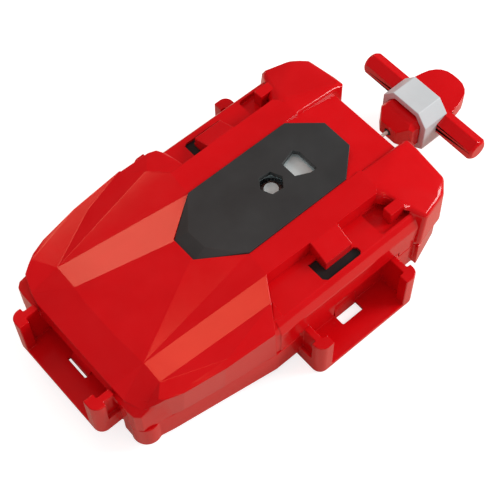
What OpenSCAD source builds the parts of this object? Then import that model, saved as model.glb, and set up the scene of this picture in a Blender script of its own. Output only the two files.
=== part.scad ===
// Spinning top launcher with a pull string.
// A two-part case holds a sprung string spool, a gear train and a launch hub with three prongs.
// The string leaves the back of the case and ends in a T handle with a pale collar.
// The launch hub turns about the Z axis, +X points to the handle, and Z = 0 is the underside
// of the two side docks, which the launcher stands on.

/* [Case] */
// Height of the case underside above the underside of the side docks
case_lift = 3; // [2.5:0.25:3.5]
// Height of the lower shell's wall, up to the parting plane
lower_wall_h = 9; // [8.5:0.25:9.5]
// Height of the flat top above the parting plane
upper_h = 18; // [17.5:0.25:19]
// Thickness of the case walls
wall = 1.8; // [1.6:0.1:2]
// Thickness of the hood's roof
roof_t = 2.2; // [2:0.1:2.4]
// Thickness of the lower shell's floor
floor_t = 1.6; // [1.2:0.1:1.8]
// Half width of the flat top
top_half = 20.4; // [19.5:0.1:21]
// Drop from the flat top to the two side ledges
ledge_drop = 5; // [4.5:0.1:5.4]
// Half width of the case at its waist
waist_half = 31.5; // [31:0.1:32]
// Drop from the flat top to the waist edge
waist_drop = 9.5; // [9:0.1:10]
// Distance from the hub axis to the back end of the hood's side wall
waist_front = 26; // [25:0.5:27]
// Distance from the hub axis to the hood's front face
nose_x = 66; // [65.5:0.25:67]
// Half width of the hood's front face
nose_half = 17; // [16.8:0.1:18]
// Drop from the flat top to the upper edge of the front face
nose_drop = 9.6; // [9.2:0.1:9.8]
// Distance from the hub axis to the front end of the hood's side edge
hood_x = 56.7; // [56:0.1:57.5]
// Drop from the flat top to the hood's side edge at its front end
hood_front_drop = 8.6; // [8.4:0.1:9]
// Drop from the flat top to the hood's side edge at its back end
hood_edge_drop = 7.2; // [7:0.1:7.6]
// Distance from the hub axis to the front corner of the shoulders
shoulder_x = 24; // [23:0.25:25]
// Distance from the hub axis to the back face of the shoulders
tail_x = 38.2; // [37.5:0.1:39]
// Half width of the slot between the shoulders
tail_slot_half = 12.3; // [12:0.1:13]
// Distance from the hub axis to the back wall between the shoulders
rear_x = 34.3; // [33.8:0.1:34.8]
// Drop of the sloping deck between the shoulders at its back edge
rear_drop = 3.3; // [3:0.1:3.8]
// Radius of the screw columns at the hood's front corners
ear_r = 4; // [3.8:0.1:4.2]

/* [Docks] */
// Width of a dock over its two curled arms
dock_w = 35.6; // [35:0.1:36]
// Depth of a dock from its back wall to its outer edge
dock_d = 10; // [9.8:0.1:10.4]
// Height of a dock's arms
dock_h = 14; // [13:0.5:14.5]
// Thickness of a dock's arms
dock_arm_t = 3.2; // [3:0.1:3.4]
// Length of the lip that each arm turns inwards
dock_lip = 1.5; // [1.2:0.1:2]
// Thickness of that lip
dock_lip_t = 3; // [2.6:0.1:3.2]
// Thickness of a dock's floor
dock_floor_t = 1.5; // [1.3:0.1:1.8]
// Length of the latch hole in a dock's floor
latch_w = 7.4; // [7:0.1:8]
// Distance from the latch hole to the dock's outer edge
latch_edge = 6.5; // [6.3:0.1:6.8]
// Height of the front dock above the side docks
front_dock_lift = 8.5; // [8:0.25:9]
// Distance from the hub axis to the wall behind the front dock
front_back_x = 63.1; // [62.9:0.1:63.4]

/* [Top panel] */
// Half width of the dark top panel
panel_half = 12; // [11.5:0.1:12.5]
// Distance from the hub axis to the panel's front corners
panel_front = 18.2; // [17.8:0.1:18.6]
// Distance from the hub axis to the panel's front point
panel_nose = 29.8; // [29.4:0.1:30.4]
// Half width of that point
panel_nose_half = 3.9; // [3.6:0.1:4.2]
// Distance from the hub axis to the panel's back corners
panel_back = 15.5; // [15.2:0.1:15.8]
// Distance from the hub axis to the panel's back edge
panel_tail = 23.6; // [23:0.1:24]
// Half width of that back edge
panel_tail_half = 4.9; // [4.6:0.1:5.2]
// Thickness of the panel
panel_t = 1.5; // [1.4:0.1:1.6]
// Height of the panel's face above the flat top
panel_proud = 0.5; // [0.4:0.1:0.7]
// Corner radius of the six-sided window over the hub axis
hex_r = 3.5; // [3.4:0.1:3.8]
// Distance from the hub axis to the near edge of the rotor window
rotor_window_near = 6.1; // [5.8:0.1:6.4]
// Distance from the hub axis to the far edge of the rotor window
rotor_window_far = 12; // [11.5:0.1:12.2]

/* [String] */
// Diameter of the pull string
string_d = 1; // [0.9:0.05:1]
// Length of string that pulls out
pull_len = 400; // [380:5:400]
// Radius of the spool's drum
drum_r = 13; // [12.8:0.1:13.3]
// Height that the winding leaves free between the drum's flanges
drum_spare = 0.15; // [0.1:0.01:0.3]
// Radius of the drum's flanges
flange_r = 16.8; // [16.4:0.1:17]
// Rise of the winding in one turn
winding_pitch = 1.42; // [1.41:0.01:1.44]

/* [Gears] */
// Size of the gear teeth, as pitch diameter divided by the number of teeth
tooth_size = 1; // [0.99:0.005:1.01]
// Height of the gears
gear_h = 3.2; // [3:0.1:3.4]
// Radius of the spool's fixed shaft
spool_shaft_r = 2; // [1.9:0.05:2.1]
// Radius of the idler gear's fixed shaft
idler_shaft_r = 1.5; // [1.4:0.05:1.6]

/* [Launch hub] */
// Radius of the hollow hub shaft
hub_shaft_r = 3; // [2.9:0.05:3.05]
// Radius of the sprung plunger in the hub shaft
plunger_r = 2; // [1.9:0.05:2.05]
// Travel of the plunger
plunger_travel = 1.8; // [1.6:0.1:1.9]
// Radius of the hub's journal in its bush
journal_r = 4.5; // [4.3:0.05:4.55]
// Radius of the hub's flange
hub_flange_r = 15; // [14.5:0.1:15.4]
// Outer radius of the three launch prongs
prong_r = 13.6; // [13.2:0.1:14]
// Radial thickness of the prongs
prong_t = 2.4; // [2.2:0.1:2.6]
// Radius of the recess around the launch hub
well_r = 18; // [17.5:0.1:18.2]

/* [Handle] */
// Distance from the hub axis to the handle bar's axis, with the string wound in
handle_x = 59; // [58.5:0.25:60]
// Length of the handle bar
bar_len = 43.6; // [42:0.2:46]
// Corner radius of the six-sided bar
bar_r = 3.6; // [3.4:0.1:3.7]
// Length of the pale collar along the string
collar_len = 8.8; // [8.4:0.1:9.2]
// Half width of the pale collar
collar_half = 8.4; // [8.2:0.1:8.6]
// Height of the pale collar above and below the string
collar_h = 8; // [7.8:0.1:8.2]
// Wall thickness of the pale collar
collar_t = 2; // [1.8:0.1:2.2]
// Length of the stem from the bar's axis to the stem's tip
stem_len = 14.4; // [14:0.1:14.8]
// Length of the finger tab behind the bar's axis
tab_len = 13.3; // [12.5:0.1:14]
// Thickness of the finger tab
tab_t = 4.8; // [4.4:0.1:5.2]

/* [Hidden] */
$fn = 48;

// Overrun of every cut past the face that it opens
over = 1;
// Running clearance between a shaft and its bore
run_gap = 0.05;
// Clearance between pieces that are fixed to each other
fit_gap = 0.03;
// Free space between pieces that move past each other
free_gap = 0.3;
// Size of the small blocks that mark the corners of a blended shape
dot = 0.4;

case_red = "#cf1419";
panel_grey = "#3a3a3a";
pale_grey = "#cdced0";
disc_grey = "#b4b4b4";
steel = "#b8babd";
brass = "#c9a356";
string_white = "#e8e6de";
black = "#1e1e20";

// Heights that the case gives
part_z = case_lift + lower_wall_h;
floor_z = case_lift + floor_t;
case_top = part_z + upper_h;
ledge_z = case_top - ledge_drop;
waist_z = case_top - waist_drop;
nose_z = case_top - nose_drop;
hood_front_z = case_top - hood_front_drop;
hood_edge_z = case_top - hood_edge_drop;
rear_z = case_top - rear_drop;
string_r = string_d / 2;

// Half widths that follow from the waist
ledge_inset = 2.5;
ledge_half = waist_half - ledge_inset;
shoulder_flare = 1.5;
shoulder_half = waist_half + shoulder_flare;
hood_draw = 4.8;
hood_half = waist_half - hood_draw;

// Corners of the hood's facets
strip_x = 55.2;
strip_in = 14.2;
strip_edge = 5.3;
strip_out = hood_half - strip_edge;
strip_drop = 8.3;
strip_z = case_top - strip_drop;
strip_back_x = 22.5;
strip_back_draw = 6.3;
strip_back_half = waist_half - strip_back_draw;
strip_back_drop = 2.8;
strip_back_z = case_top - strip_back_drop;
hood_back_x = 19.5;
hood_lean = 0.4;
hood_front_lean = 0.9;
panel_nose_drop = 1.1;
// Corner of the hood in plan, as shares of the way from its front face to its side edge
hood_corner_shares = [[1, 1], [0.18, 0.83], [0.04, 0.68], [0, 0.45], [0, 0]];

// Corners of the shoulders
shoulder_in_x = 18.5;
shoulder_mid_x = 22.4;
shoulder_mid_draw = 8.5;
shoulder_mid_half = shoulder_half - shoulder_mid_draw;
shoulder_mid_drop = 1.5;
shoulder_drop = 4.6;
tail_side_x = 34.5;
tail_side_draw = 3.8;
tail_draw = 6.5;
tail_half = shoulder_half - tail_draw;
tail_side_half = shoulder_half - tail_side_draw;
tail_drop = 1.6;
tail_out_drop = 4.2;

// Details of the two ledges
block_half = 4.6;
block_inset = 2.9;
block_out = ledge_half - block_inset;
block_drop = 2.5;
slot_w = 2.6;
slot_x = 6;
slot_inset = 1.5;
slot_out = ledge_half - slot_inset;
slot_leg = 4.9;
slot_in = slot_out - slot_leg;
slot_end_x = 5;
pocket_x = 11.5;
pocket_len = 13;
pocket_w = 3.2;
pocket_depth = 1.1;
tooth_x = 17.6;
tooth_len = 5;
tooth_inset = 5;
tooth_in = ledge_half - tooth_inset;
tooth_w = 3;
tooth_h = 3;
lug_x = 15.8;
lug_len = 2.8;
lug_w = 1.9;
lug_h = 1.2;

// Docks
dock_gap = 0.2;
dock_round = 2.6;
dock_root = 0.4;
dock_step = 0.4;
dock_back = ledge_half + dock_step;
latch_shift = 0.7;
// Recess in the outer face of each arm, next to the case
neck_depth = 1.2;
neck_len = 6.4;
neck_z = 5.5;
latch_niche = 1;
latch_niche_h = 4.9;
front_wall_half = dock_w / 2;
front_wall_top = nose_z - roof_t;

// Top panel and its seat
panel_z = case_top + panel_proud - panel_t;
panel_edge = 0.1;
panel_lip = 1.4;
panel_rim = 1;
panel_crest = 3.6;
hex_turn = -6;
plinth_h = 2.2;
plinth_inset = 0.4;
rotor_window_in = 2.5;
rotor_window_out = 4.4;

// Screws
screw_r = 1.2;
screw_head_r = 2.3;
screw_head_h = 1.6;
screw_recess = case_lift + screw_head_h + run_gap;
screw_bite = 6.5;
ear_x = 62.3;
ear_gap = 4.5;
ear_half = dock_w / 2 + ear_gap;
ear_drop = 9.5;
rear_screw_x = 31;
rear_screw_inset = 12;
rear_screw_half = shoulder_half - rear_screw_inset;
rear_boss_r = 3.4;
plate_screw_r = 1;
plate_screw_head_r = 2;
plate_screw_head_h = 1;
plate_screw_len = 8;
post_r = 2.6;
post_front_x = 20;
post_back_x = 12;
post_inset = 7.5;
post_half = waist_half - post_inset;

// Gear train, with the tooth counts and the tooth form's shares of the module
spool_teeth = 36;
idler_teeth = 16;
pinion_teeth = 12;
pressure_angle = 20;
tip_share = 0.85;
root_share = 1.25;
backlash = 0.06;
flank_steps = 4;
idler_x = tooth_size * (idler_teeth + pinion_teeth) / 2;
spool_x = idler_x + tooth_size * (idler_teeth + spool_teeth) / 2;

// Spool
spool_boss_r = 4.5;
spool_boss_h = 0.8;
flange_t = 1;
spool_lift = 0.2;
spool_z = floor_z + spool_boss_h + spool_lift;
drum_z = spool_z + flange_t;
winding_steps = 24;
winding_r = (drum_r + string_r) / cos(180 / winding_steps) + run_gap;
winding_turns = pull_len / (2 * PI * winding_r);
drum_h = winding_turns * winding_pitch + string_d + run_gap + drum_spare;
web_z = drum_z + drum_h;
web_t = 1.2;
gear_z = web_z + web_t;
drum_wall = 2.8;
barrel_r = drum_r - drum_wall;
arbor_r = 3.4;
cap_r = barrel_r - fit_gap;
shaft_seat = 1;
plate_gap = 0.6;
plate_z = gear_z + gear_h + plate_gap;
plate_t = 1.6;
plate_top = plate_z + plate_t;

// Mainspring, a spiral strip
strip_t = 0.35;
spring_turns = 4.5;
spring_steps = 24;
spring_in = arbor_r + strip_t;
spring_out = barrel_r - strip_t;
spring_edge = 0.4;

// String, wound on the drum and led to the handle
winding_sides = 6;
winding_top = web_z - string_r - run_gap;
anchor_t = 1.6;
string_sides = 8;
string_step = 2.5;
eyelet_inset = 1;
eyelet_x = rear_x - eyelet_inset;
leave_angle = -acos(winding_r / (spool_x + eyelet_x));
leave_point = [
    winding_r * cos(leave_angle) - spool_x,
    winding_r * sin(leave_angle),
    winding_top
];
leave_dir = unit([eyelet_x, 0, part_z] - leave_point);

// Eyelet in the back wall, along the string
eyelet_r = 2.2;
string_gap = 0.25;
eyelet_bore_r = string_r + string_gap;
eyelet_mouth_r = 1.7;
eyelet_flange_r = 3.2;
eyelet_flange_t = 1.3;
eyelet_nose = 6.4;
eyelet_nose_r = 2.5;

// Launch hub and its bearings
well_wall = 1.6;
well_depth = 5.2;
well_top = case_lift + well_depth;
well_roof = well_top + well_wall;
bush_r = 6;
bush_flange_r = 7.6;
bush_flange_t = 1.2;
hub_recess = 0.4;
flange_top = well_top - hub_recess;
hub_flange_t = 2;
sleeve_r = 6;
sleeve_lift = 0.4;
sleeve_z = case_lift + sleeve_lift;
spring_pocket_r = 3.95;
journal_top = gear_z - free_gap;
hub_seat = 0.4;
prong_z = 1;
prong_sweep = 42;
prong_count = 3;
hook_w = 2;
hook_h = 1.2;
upper_bush_r = 5;
upper_bush_flange_r = 6.4;
upper_bush_flange_t = 0.6;
upper_bush_drop = 0.3;
rotor_depth = 5.6;
rotor_z = case_top - rotor_depth;
rotor_t = 1.4;
rotor_gap = 2.1;
rotor_r = top_half - wall - rotor_gap;
rotor_collar_r = 5.4;
rotor_collar_h = 0.8;
hub_shaft_depth = 3.5;
hub_shaft_top = case_top - hub_shaft_depth;
rotor_clip_r = 4.3;

// Plunger
plunger_z = 1.2;
plunger_head_r = 3.7;
plunger_head_h = 1.6;
plunger_depth = 2.4;
plunger_top = case_top - plunger_depth;
plunger_clip_r = 2.8;
plunger_clip_h = 0.6;
coil_wire_r = 0.3;
coil_r = 3;
coil_curls = 3.5;
coil_steps = 8;
coil_sides = 6;
// The pocket leaves room for the closed coil when the plunger is fully in
spring_pocket_top = plunger_z + plunger_head_h + plunger_travel + 2 * coil_wire_r * (coil_curls + 1 / 2);

// Handle
bar_chamfer = 1;
collar_flat = 5;
collar_edge_share = 0.42;
collar_shoulder = 4;
collar_skirt = 5.7;
collar_back = 0.6;
collar_end = handle_x + collar_back;
stem_h = 5;
stem_half = collar_half - collar_t - fit_gap;
stem_taper = 3.4;
stem_tip_half = 3;
stem_tip_h = 2.6;
stem_bore_r = string_r + string_gap;
bead_r = 1.7;
bead_len = 2.6;
bead_step = 0.2;
bead_x = stem_taper + bead_step;
tongue_len = 4.4;
tongue_half = 3.2;
tongue_h = 1.5;
tongue_tip = handle_x - bar_r - tongue_len;
pin_r = 1;
pin_inset = 2.2;
pin_x = tongue_tip + pin_inset;
tab_lift = 2;
tab_half = 8.2;
// Plan of the finger tab, as shares of its length and half width
tab_shares = [[0, 1], [0.26, 1], [0.5, 0.93], [0.68, 0.85], [0.82, 0.72], [0.91, 0.58], [0.98, 0.36], [1, 0.12]];

function unit(v) = v / norm(v);
function polar(r, a) = [r * cos(a), r * sin(a)];
function opposite(points) = [for (i = [len(points) - 1 : -1 : 0]) [points[i][0], -points[i][1]]];
function both_sides(points) = concat(points, opposite(points));

// Plan of the hood's rounded corner, drawn in by an inset
function hood_corner(inset) = [
    for (share = hood_corner_shares) [
        inset - nose_x + (nose_x - hood_x) * share[0],
        nose_half + (hood_half - nose_half) * share[1] - inset
    ]
];

// Plan of the whole case, drawn in by an inset
function case_plan(inset) = both_sides(concat(
    [
        [rear_x - inset, tail_slot_half + inset],
        [tail_x - inset, tail_slot_half + inset],
        [tail_x - inset, tail_half - inset],
        [tail_side_x - inset, tail_side_half - inset],
        [shoulder_x + inset, shoulder_half - inset],
        [shoulder_x + inset, waist_half - inset],
        [-waist_front, waist_half - inset]
    ],
    hood_corner(inset)
));

// Plan of the top panel, drawn in by an inset
function panel_plan(inset) = both_sides([
    [panel_tail - inset, panel_tail_half - inset / 2],
    [panel_back - inset / 2, panel_half - inset],
    [inset / 2 - panel_front, panel_half - inset],
    [inset - panel_nose, panel_nose_half - inset / 2]
]);

// Plan of a round strip from one angle to another
function arc(r, from, to, steps) = [for (i = [0 : steps]) polar(r, from + (to - from) * i / steps)];

// Involute tooth form
function involute(a) = tan(a) * 180 / PI - a;
function half_tooth(teeth, r) =
    let (pitch_r = teeth * tooth_size / 2, base_r = pitch_r * cos(pressure_angle))
    90 / teeth + involute(pressure_angle) - involute(acos(min(1, base_r / r)))
        - backlash * 90 / PI / pitch_r;
function tooth_flank(teeth) =
    let (
        pitch_r = teeth * tooth_size / 2,
        foot_r = max(pitch_r * cos(pressure_angle), pitch_r - root_share * tooth_size),
        tip_r = pitch_r + tip_share * tooth_size
    )
    [for (i = [0 : flank_steps]) foot_r + (tip_r - foot_r) * i / flank_steps];
function gear_plan(teeth) =
    let (
        flank = tooth_flank(teeth),
        root_r = teeth * tooth_size / 2 - root_share * tooth_size,
        foot = half_tooth(teeth, flank[0])
    )
    [
        for (t = [0 : teeth - 1])
        let (mid = t * 360 / teeth)
        each concat(
            [polar(root_r, mid - foot)],
            [for (r = flank) polar(r, mid - half_tooth(teeth, r))],
            [for (i = [flank_steps : -1 : 0]) polar(flank[i], mid + half_tooth(teeth, flank[i]))],
            [polar(root_r, mid + foot)]
        )
    ];

// Rings of a round tube along a list of points
function heading(points, i) = unit(points[min(i + 1, len(points) - 1)] - points[max(i - 1, 0)]);
function tube_ring(centre, along, r, sides) =
    let (side = unit(cross([0, 0, 1], along)), up = cross(along, side))
    [for (k = [0 : sides - 1]) centre + r * (cos(k * 360 / sides) * side + sin(k * 360 / sides) * up)];
function tube_faces(rings, sides) = concat(
    [for (k = [1 : sides - 2]) [0, k, k + 1]],
    [
        for (i = [0 : rings - 2], k = [0 : sides - 1])
        let (a = i * sides + k, b = i * sides + (k + 1) % sides)
        each [[a, a + sides, b + sides], [a, b + sides, b]]
    ],
    [for (k = [1 : sides - 2]) [0, k + 1, k] + (rings - 1) * sides * [1, 1, 1]]
);
// Least distance between two passes of a coil, from surface to surface
function coil_gap(points, r, apart) = min([
    for (i = [0 : len(points) - 1 - apart], j = [i + apart : len(points) - 1])
    norm(points[j] - points[i])
]) - 2 * r;
// Points along straight legs, with no step longer than the one given
function along_route(corners, step) = concat(
    [
        for (i = [0 : len(corners) - 2])
        let (leg = corners[i + 1] - corners[i], count = ceil(norm(leg) / step))
        each [for (k = [0 : count - 1]) corners[i] + leg * k / count]
    ],
    [corners[len(corners) - 1]]
);

winding_points = concat(
    [
        let (a = leave_angle - winding_turns * 360)
        winding_place(winding_turns) - string_d * [-sin(a), cos(a), 0]
    ],
    [
        for (i = [0 : ceil(winding_turns * winding_steps)])
        winding_place(winding_turns * (1 - i / ceil(winding_turns * winding_steps)))
    ],
    [leave_point + leave_dir * string_d]
);
function winding_place(turns) = [
    winding_r * cos(leave_angle - turns * 360) - spool_x,
    winding_r * sin(leave_angle - turns * 360),
    winding_top - turns * winding_pitch
];

module both() {
    children();
    mirror([0, 1, 0]) children();
}

module disc(r, from_z, to_z) {
    translate([0, 0, from_z]) cylinder(r = r, h = to_z - from_z);
}

module ring(outer_r, inner_r, from_z, to_z) {
    difference() {
        disc(outer_r, from_z, to_z);
        disc(inner_r, from_z - over, to_z + over);
    }
}

module block(from_x, to_x, from_y, to_y, from_z, to_z) {
    translate([from_x, from_y, from_z]) cube([to_x - from_x, to_y - from_y, to_z - from_z]);
}

module slab(from_z, to_z) {
    translate([0, 0, from_z]) linear_extrude(to_z - from_z) children();
}

// A profile drawn in Y and Z, drawn out along X
module along_x(from_x, to_x) {
    translate([from_x, 0, 0]) rotate([90, 0, 90]) linear_extrude(to_x - from_x) children();
}

// A profile drawn in X and Z, drawn out along Y on both sides of the middle
module across(half) {
    translate([0, half, 0]) rotate([90, 0, 0]) linear_extrude(2 * half) children();
}

module tube(points, r, sides) {
    polyhedron(
        points = [for (i = [0 : len(points) - 1]) each tube_ring(points[i], heading(points, i), r, sides)],
        faces = tube_faces(len(points), sides)
    );
}

// A small block inside each of a blended shape's upper corners
module corner_dots(corners) {
    for (side = [-1, 1], p = corners)
        translate([p[0] + dot / 2, side * (p[1] - dot / 2), p[2] - dot / 2]) cube(dot, center = true);
}

// Hood, from the flat top down to the facets' front ends
module hood_back() {
    hull() {
        corner_dots([
            [-hood_back_x, top_half, case_top],
            [-panel_nose, panel_nose_half, case_top - panel_nose_drop],
            [-strip_x, strip_in, strip_z],
            [-strip_x, strip_out, strip_z],
            [-strip_back_x, strip_back_half, strip_back_z],
            [-waist_front, waist_half - hood_lean, hood_edge_z],
            [-hood_x, hood_half - hood_front_lean, hood_front_z]
        ]);
        slab(part_z, part_z + dot) polygon(both_sides([
            [-hood_back_x, top_half],
            [-waist_front, waist_half],
            [-hood_x, hood_half]
        ]));
    }
}

// Hood, from the facets' front ends to the front face
module hood_front() {
    hull() {
        corner_dots([[-strip_x, strip_in, strip_z], [-strip_x, strip_out, strip_z]]);
        corner_dots([
            for (i = [0 : len(hood_corner_shares) - 1])
            let (p = hood_corner(0)[i], share = hood_corner_shares[i][1])
            [p[0], p[1] - hood_front_lean * share, nose_z + (hood_front_z - nose_z) * share]
        ]);
        slab(part_z, part_z + dot) polygon(both_sides(hood_corner(0)));
    }
}

// Space under the hood
module hood_space() {
    hull() {
        corner_dots([
            [-hood_back_x, top_half - wall, case_top - wall],
            [-panel_nose, panel_nose_half, case_top - panel_nose_drop - roof_t],
            [-strip_back_x, strip_back_half - wall, strip_back_z - roof_t],
            [-waist_front, waist_half - wall, hood_edge_z - roof_t],
            [-hood_x, hood_half - wall - hood_front_lean / 2, hood_front_z - roof_t],
            [wall - nose_x, nose_half - wall, nose_z - roof_t]
        ]);
        slab(part_z - over, part_z + dot) polygon(both_sides(concat(
            [[-hood_back_x, top_half - wall], [-waist_front, waist_half - wall]],
            hood_corner(wall)
        )));
    }
}

// Section of the case between the hood and the shoulders, drawn in by an inset
module ledge_section(inset) {
    polygon(both_sides([
        [ledge_z - inset, 0],
        [ledge_z - inset, ledge_half - inset / 2],
        [waist_z - inset / 2, waist_half - inset],
        [part_z - (inset > 0 ? over : 0), waist_half - inset]
    ]));
}

module middle_body(inset) {
    along_x(-waist_front, shoulder_x + inset) rotate(-90) mirror([1, 0]) ledge_section(inset);
    block(
        -hood_back_x - inset, panel_back + inset,
        inset - top_half, top_half - inset,
        part_z, case_top - inset
    );
}

// Deck that slopes down between the shoulders
module rear_body(inset) {
    across(tail_slot_half + (inset > 0 ? 0 : wall)) polygon([
        [0, part_z - (inset > 0 ? over : 0)],
        [0, case_top - inset],
        [panel_back, case_top - inset],
        [rear_x - inset, rear_z - inset],
        [rear_x - inset, part_z - (inset > 0 ? over : 0)]
    ]);
}

module shoulders() {
    both() hull() {
        for (p = [
            [panel_back - wall, tail_slot_half, case_top],
            [shoulder_in_x, top_half - dot, case_top],
            [shoulder_mid_x, shoulder_mid_half, case_top - shoulder_mid_drop],
            [shoulder_x, shoulder_half - dot, case_top - shoulder_drop],
            [tail_side_x - dot, tail_side_half - dot, case_top - shoulder_drop],
            [tail_x - dot, tail_half - dot, case_top - tail_out_drop],
            [tail_x - dot, tail_slot_half, case_top - tail_drop]
        ]) translate([p[0], p[1], p[2] - dot]) cube(dot);
        slab(part_z, part_z + dot) polygon([
            [panel_back - wall, tail_slot_half],
            [shoulder_in_x, top_half],
            [shoulder_x, shoulder_half],
            [tail_side_x, tail_side_half],
            [tail_x, tail_half],
            [tail_x, tail_slot_half]
        ]);
    }
}

module shoulder_space() {
    both() slab(part_z - over, case_top - shoulder_drop - wall) polygon([
        [panel_back - wall, tail_slot_half - over],
        [rear_x - wall, tail_slot_half - over],
        [rear_x - wall, tail_slot_half + wall],
        [tail_x - wall, tail_slot_half + wall],
        [tail_x - wall, tail_half - wall],
        [tail_side_x - wall, tail_side_half - wall],
        [shoulder_x + wall, shoulder_half - wall],
        [shoulder_x, waist_half - wall],
        [panel_back, waist_half - wall]
    ]);
}

// Places where the side docks reach into the case
module dock_notch(grow, top) {
    both() block(
        -dock_w / 2 - grow, dock_w / 2 + grow,
        dock_back - (grow > dock_gap ? wall : dock_root + fit_gap), shoulder_half + over,
        part_z - over, top
    );
}

module case_space() {
    difference() {
        union() {
            hood_space();
            middle_body(wall);
            rear_body(wall);
            shoulder_space();
        }
        dock_notch(dock_gap + wall, dock_h + dock_gap + wall);
        both() translate([-ear_x, ear_half, 0]) disc(ear_r, 0, case_top);
        both() translate([rear_screw_x, rear_screw_half, 0]) disc(rear_boss_r, 0, case_top);
    }
}

// Raised details on the two ledges
module ledge_details() {
    both() {
        along_x(-block_half, block_half) polygon([
            [top_half - wall, ledge_z - wall / 2],
            [block_out, ledge_z - wall / 2],
            [block_out, case_top - block_drop],
            [top_half, case_top],
            [top_half - wall, case_top]
        ]);
        block(
            tooth_x, tooth_x + tooth_len, tooth_in, tooth_in + tooth_w,
            ledge_z - wall / 2, ledge_z + tooth_h
        );
        block(
            -lug_x, lug_len - lug_x, ledge_half, ledge_half + lug_w,
            waist_z, ledge_z
        );
    }
}

// Plan of the L-shaped slots, with round ends
module slot_plan() {
    for (p = [[-slot_x, slot_in], [-slot_x, slot_out], [slot_end_x, slot_out]])
        translate(p) circle(slot_w / 2);
    translate([-slot_x - slot_w / 2, slot_in]) square([slot_w, slot_out - slot_in]);
    translate([-slot_x, slot_out - slot_w / 2]) square([slot_x + slot_end_x, slot_w]);
}

module ledge_cuts() {
    both() {
        slab(ledge_z - wall - over, ledge_z + over) slot_plan();
        slab(ledge_z - pocket_depth, ledge_z + over)
            translate([pocket_x - pocket_len / 2, top_half + dot]) square([pocket_len - dot, pocket_w]);
    }
}

module ear_pilots() {
    both() translate([-ear_x, ear_half, 0]) disc(screw_r + fit_gap, part_z - over, part_z + screw_bite + over);
    both() translate([rear_screw_x, rear_screw_half, 0])
        disc(screw_r + fit_gap, part_z - over, part_z + screw_bite + over);
}

// Round bore for the eyelet, half in each cover
module eyelet_bore() {
    translate([rear_x - wall - over, 0, part_z]) rotate([0, 90, 0])
        cylinder(r = eyelet_r + fit_gap, h = wall + 2 * over);
}

// Front dock's place in the hood, below the roof's lip
module front_dock_cuts() {
    block(
        -nose_x - over, -front_back_x,
        -dock_w / 2 - dock_gap, dock_w / 2 + dock_gap,
        part_z - over, front_wall_top + fit_gap
    );
    block(
        -front_back_x - fit_gap, wall - front_back_x + fit_gap,
        -front_wall_half - fit_gap, front_wall_half + fit_gap,
        part_z - over, front_wall_top + fit_gap
    );
}

module top_cover() {
    color(case_red) difference() {
        union() {
            hood_back();
            hood_front();
            middle_body(0);
            rear_body(0);
            shoulders();
            ledge_details();
            slab(panel_z - plinth_h, panel_z) polygon(panel_plan(plinth_inset));
            both() translate([-ear_x, ear_half, 0]) disc(ear_r, part_z, case_top - ear_drop);
        }
        case_space();
        slab(panel_z, case_top + over) polygon(panel_plan(-panel_edge));
        slab(panel_z - plinth_h - wall, case_top + over) polygon(panel_plan(panel_lip + panel_crest / 2));
        ledge_cuts();
        dock_notch(dock_gap, dock_h + dock_gap);
        front_dock_cuts();
        eyelet_bore();
        ear_pilots();
    }
}

// Dock in its own frame, with its back wall at Y = 0 and its mouth towards +Y
module dock_outline() {
    translate([-dock_w / 2, -dock_root]) square([dock_w, dock_d - dock_round + dock_root]);
    translate([dock_round - dock_w / 2, 0]) square([dock_w - 2 * dock_round, dock_d]);
    for (side = [-1, 1])
        translate([side * (dock_w / 2 - dock_round), dock_d - dock_round]) circle(dock_round);
}

// Latch hole, with a niche in the wall behind it
module latch_cut() {
    translate([latch_shift - latch_w / 2, -latch_niche, -over])
        cube([latch_w, dock_d - latch_edge + latch_niche, dock_floor_t + over + latch_niche_h]);
}

module dock() {
    inside = dock_w / 2 - dock_arm_t;
    mouth = inside - dock_lip;
    linear_extrude(dock_floor_t) dock_outline();
    difference() {
        linear_extrude(dock_h) difference() {
            dock_outline();
            translate([-inside, -over]) square([2 * inside, dock_d - dock_lip_t + over]);
            translate([-mouth, 0]) square([2 * mouth, dock_d + over]);
        }
        for (side = [-1, 1])
            translate([side * dock_w / 2 - neck_depth, waist_half - dock_back, neck_z])
                cube([2 * neck_depth, neck_len + dock_back - waist_half, dock_h]);
    }
}

// The front dock's arms stop in front of the hood's lip
module front_dock() {
    difference() {
        translate([-front_back_x, 0, front_dock_lift]) rotate(90) dock();
        block(
            -nose_x - dock_gap, over - front_back_x,
            -dock_w / 2 - over, dock_w / 2 + over,
            front_wall_top, case_top
        );
    }
}

module lower_plan(inset) {
    difference() {
        polygon(case_plan(inset));
        both() translate([-dock_w / 2 - inset, dock_back - inset])
            square([dock_w + 2 * inset, shoulder_half]);
        translate([-front_back_x + inset - nose_x, -dock_w / 2 - inset])
            square([nose_x, dock_w + 2 * inset]);
    }
}

module gear_posts() {
    for (x = [-post_front_x, post_back_x])
        both() translate([x, post_half, 0]) ring(post_r, plate_screw_r + fit_gap, floor_z - over / 2, plate_z);
}

module screw_recesses() {
    both() translate([-ear_x, ear_half, 0]) {
        disc(screw_head_r + fit_gap, -over, screw_recess);
        disc(screw_r + fit_gap, -over, part_z + over);
    }
    both() translate([rear_screw_x, rear_screw_half, 0]) {
        disc(screw_head_r + fit_gap, -over, screw_recess);
        disc(screw_r + fit_gap, -over, part_z + over);
    }
}

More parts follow.
